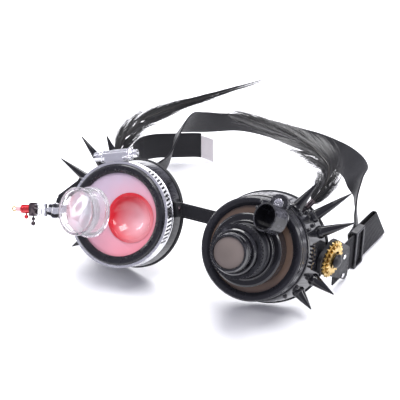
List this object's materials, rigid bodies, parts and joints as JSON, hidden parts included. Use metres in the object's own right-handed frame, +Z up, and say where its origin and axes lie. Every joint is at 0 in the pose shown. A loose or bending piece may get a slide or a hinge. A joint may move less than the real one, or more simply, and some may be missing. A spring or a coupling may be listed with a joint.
{
  "type": "steampunk goggles",
  "caption": "Cup goggles with a red lens, a swing-out loupe on a slotted clamp, a telescoping scope, spikes, brass gears, feathers and an elastic head strap.",
  "frame": {"origin": "middle of the goggles' outline on the table, at table height, with the goggles lying as worn down on their face pads and side straps", "axes": "+X towards the scope side, +Y from the lenses back to the head strap, +Z up from the table"},
  "size_m": [0.2068, 0.2232, 0.085],
  "materials": {
    "gloss_black": "glossy moulded black plastic",
    "satin_black": "satin black plastic",
    "pad_rubber": "soft matt rubber",
    "red_glass": "clear red plastic lens",
    "bronze_glass": "tinted bronze lens",
    "clear_glass": "clear polished glass",
    "steel": "polished steel",
    "brass": "stamped bright brass",
    "red_anodised": "glossy red finish",
    "pink_sleeve": "translucent pink plastic",
    "dark_metal": "dark glossy finish",
    "leather": "black leather",
    "webbing": "ribbed black webbing",
    "elastic": "woven black elastic",
    "tag": "blank white tape",
    "feather": "black feather"
  },
  "bodies": {
    "frame": {"red_cup": "gloss_black", "red_face_pad": "pad_rubber", "red_lens": "red_glass", "red_lens_dish": "red_glass", "red_spikes": "gloss_black", "red_studs": "gloss_black", "bridge": "leather", "bridge_rivets": "steel", "scope_cup": "gloss_black", "scope_face_pad": "pad_rubber", "bronze_lens": "bronze_glass", "scope_base": "gloss_black", "scope_spikes": "gloss_black", "scope_studs": "gloss_black", "scope_wing": "leather", "red_wing": "leather", "wing_rivets": "steel", "gear_axle": "gloss_black", "scope_webbing": "webbing", "red_webbing": "webbing", "head_strap": "elastic", "strap_tail": "elastic", "tail_tag": "tag", "scope_feather": "feather", "red_feather": "feather", "feather_ferrules": "satin_black"},
    "red_ring": {"red_lens_ring": "gloss_black", "clamp_band": "steel", "clamp_housing": "steel", "loupe_bracket": "satin_black", "loupe_hinge_pin": "steel", "arm_pivot_pin": "steel"},
    "clamp_screw": {"clamp_screw": "steel"},
    "loupe": {"loupe_arm": "steel", "loupe_ring": "clear_glass", "loupe_glass": "clear_glass"},
    "rod_arm": {"arm_rods": "steel", "arm_block": "dark_metal", "arm_red_nut": "red_anodised", "arm_sleeve": "pink_sleeve", "arm_beads": "dark_metal"},
    "eyelet": {"arm_eyelet": "brass"},
    "thumb_screw": {"arm_thumb_screw": "red_anodised"},
    "scope_ring": {"scope_lens_ring": "gloss_black", "sight_bracket": "gloss_black"},
    "sight": {"sight_tube": "gloss_black", "sight_fork": "satin_black"},
    "sight_knob": {"sight_knob": "satin_black", "sight_screw": "steel"},
    "focus_ring": {"focus_ring": "gloss_black"},
    "draw_tube": {"draw_tube": "gloss_black"},
    "nose": {"nose_tube": "gloss_black", "nose_lens": "bronze_glass"},
    "large_gear": {"gear_large": "brass"},
    "small_gear": {"gear_small": "brass"},
    "scope_slider": {"scope_slider": "satin_black"},
    "red_slider": {"red_slider": "satin_black"}
  },
  "joints": [
    {"name": "red_ring_turn", "type": "hinge", "parent": "frame", "child": "red_ring", "pos_m": [-0.03327, -0.07363, 0.04836], "axis": [0, -0.866, 0.5], "range_deg": [0, 40]},
    {"name": "clamp_screw_turn", "type": "hinge", "parent": "red_ring", "child": "clamp_screw", "pos_m": [-0.04407, -0.05067, 0.07464], "axis": [-0.9537, -0.1504, -0.2604], "continuous": true},
    {"name": "loupe_swing", "type": "hinge", "parent": "red_ring", "child": "loupe", "pos_m": [-0.07177, -0.08024, 0.04491], "axis": [0, -0.5, -0.866], "range_deg": [-17, 90]},
    {"name": "rod_arm_swing", "type": "hinge", "parent": "red_ring", "child": "rod_arm", "pos_m": [-0.07687, -0.07748, 0.0425], "axis": [0, 0.5, 0.866], "range_deg": [-20, 45]},
    {"name": "eyelet_turn", "type": "hinge", "parent": "rod_arm", "child": "eyelet", "pos_m": [-0.09068, -0.07891, 0.04002], "axis": [-0.9792, -0.1014, -0.1756], "continuous": true},
    {"name": "thumb_screw_turn", "type": "hinge", "parent": "rod_arm", "child": "thumb_screw", "pos_m": [-0.09261, -0.08115, 0.03614], "axis": [-0.2028, 0.4896, 0.848], "continuous": true},
    {"name": "scope_ring_turn", "type": "hinge", "parent": "frame", "child": "scope_ring", "pos_m": [0.05273, -0.07363, 0.04836], "axis": [0, -0.866, 0.5], "range_deg": [0, 40]},
    {"name": "sight_swing", "type": "hinge", "parent": "scope_ring", "child": "sight", "pos_m": [0.06623, -0.05863, 0.07434], "axis": [0, -0.866, 0.5], "range_deg": [0, 80]},
    {"name": "sight_knob_turn", "type": "hinge", "parent": "scope_ring", "child": "sight_knob", "pos_m": [0.06623, -0.06209, 0.07634], "axis": [0, -0.866, 0.5], "continuous": true},
    {"name": "focus_turn", "type": "hinge", "parent": "frame", "child": "focus_ring", "pos_m": [0.05273, -0.07363, 0.04836], "axis": [0, -0.866, 0.5], "range_deg": [-90, 90]},
    {"name": "draw_slide", "type": "slide", "parent": "focus_ring", "child": "draw_tube", "axis": [0, -0.866, 0.5], "range_m": [-0.003, 0.004]},
    {"name": "nose_slide", "type": "slide", "parent": "draw_tube", "child": "nose", "axis": [0, -0.866, 0.5], "range_m": [-0.003, 0.003]},
    {"name": "large_gear_spin", "type": "hinge", "parent": "frame", "child": "large_gear", "pos_m": [0.09183, -0.0393, 0.03], "axis": [0.9816, -0.1908, 0], "continuous": true},
    {"name": "small_gear_spin", "type": "hinge", "parent": "frame", "child": "small_gear", "pos_m": [0.09183, -0.0393, 0.03], "axis": [0.9816, -0.1908, 0], "continuous": true},
    {"name": "scope_slider_slide", "type": "slide", "parent": "frame", "child": "scope_slider", "axis": [0.1908, 0.9816, 0], "range_m": [-0.008, 0.006]},
    {"name": "red_slider_slide", "type": "slide", "parent": "frame", "child": "red_slider", "axis": [-0.1908, 0.9816, 0], "range_m": [-0.008, 0.006]}
  ],
  "couplings": [
    {"joint": "nose_slide", "follows": "focus_turn", "m_per_rad": 0.0019}
  ]
}
